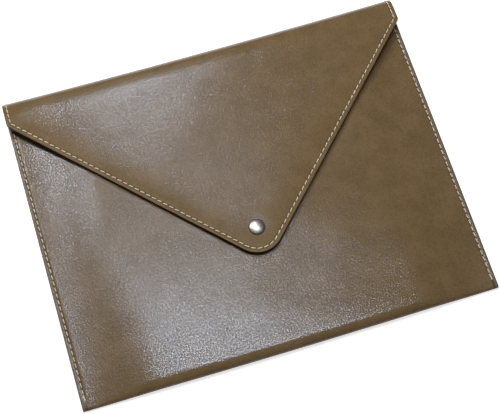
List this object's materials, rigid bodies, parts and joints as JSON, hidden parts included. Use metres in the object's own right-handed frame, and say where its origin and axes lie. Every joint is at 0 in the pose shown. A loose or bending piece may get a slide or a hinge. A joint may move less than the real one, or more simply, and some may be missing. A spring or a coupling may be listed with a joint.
{
  "type": "document wallet",
  "caption": "Envelope-style leather document wallet: a sewn pocket for papers with a pointed flap that folds over the top and closes with a press stud.",
  "frame": {"origin": "under the middle of the back panel, on the surface that the closed wallet lies on", "axes": "+X across the wallet, +Y towards the top fold, +Z out of the front"},
  "size_m": [0.32, 0.252, 0.0169],
  "materials": {
    "leather": "satin, fine grain",
    "lining": "matt, short nap",
    "thread": "waxed twist",
    "nickel": "polished",
    "spring_bronze": "bright wire"
  },
  "bodies": {
    "pocket": {"body_leather": "leather", "pocket_lining": "lining", "left_seam_needle_thread": "thread", "left_seam_bobbin_thread": "thread", "right_seam_needle_thread": "thread", "right_seam_bobbin_thread": "thread", "mouth_needle_thread": "thread", "mouth_bobbin_thread": "thread", "stud": "nickel", "stud_eyelet": "nickel"},
    "top_fold_1": {"top_fold_leather_1": "leather", "top_fold_lining_1": "lining", "top_fold_stitches_1": "thread"},
    "top_fold_2": {"top_fold_leather_2": "leather", "top_fold_lining_2": "lining", "top_fold_stitches_2": "thread"},
    "flap": {"flap_leather": "leather", "flap_lining": "lining", "flap_needle_thread": "thread", "flap_bobbin_thread": "thread", "stud_cap": "nickel", "cap_post": "nickel", "stud_socket": "nickel", "ring_spring": "spring_bronze"}
  },
  "joints": [
    {"name": "top_fold_hinge_1", "type": "hinge", "parent": "pocket", "child": "top_fold_1", "pos_m": [0, 0.12241, 0.00096], "axis": [-1, 0, 0], "range_deg": [0, 58.67]},
    {"name": "top_fold_hinge_2", "type": "hinge", "parent": "top_fold_1", "child": "top_fold_2", "pos_m": [0, 0.126, 0.00717], "axis": [-1, 0, 0], "range_deg": [0, 58.67]},
    {"name": "flap_hinge", "type": "hinge", "parent": "top_fold_2", "child": "flap", "pos_m": [0, 0.12241, 0.01339], "axis": [-1, 0, 0], "range_deg": [0, 58.67], "deforming": ["ring_spring"]}
  ],
  "couplings": [
    {"joint": "top_fold_hinge_1", "follows": "flap_hinge", "ratio": 1},
    {"joint": "top_fold_hinge_2", "follows": "flap_hinge", "ratio": 1}
  ]
}
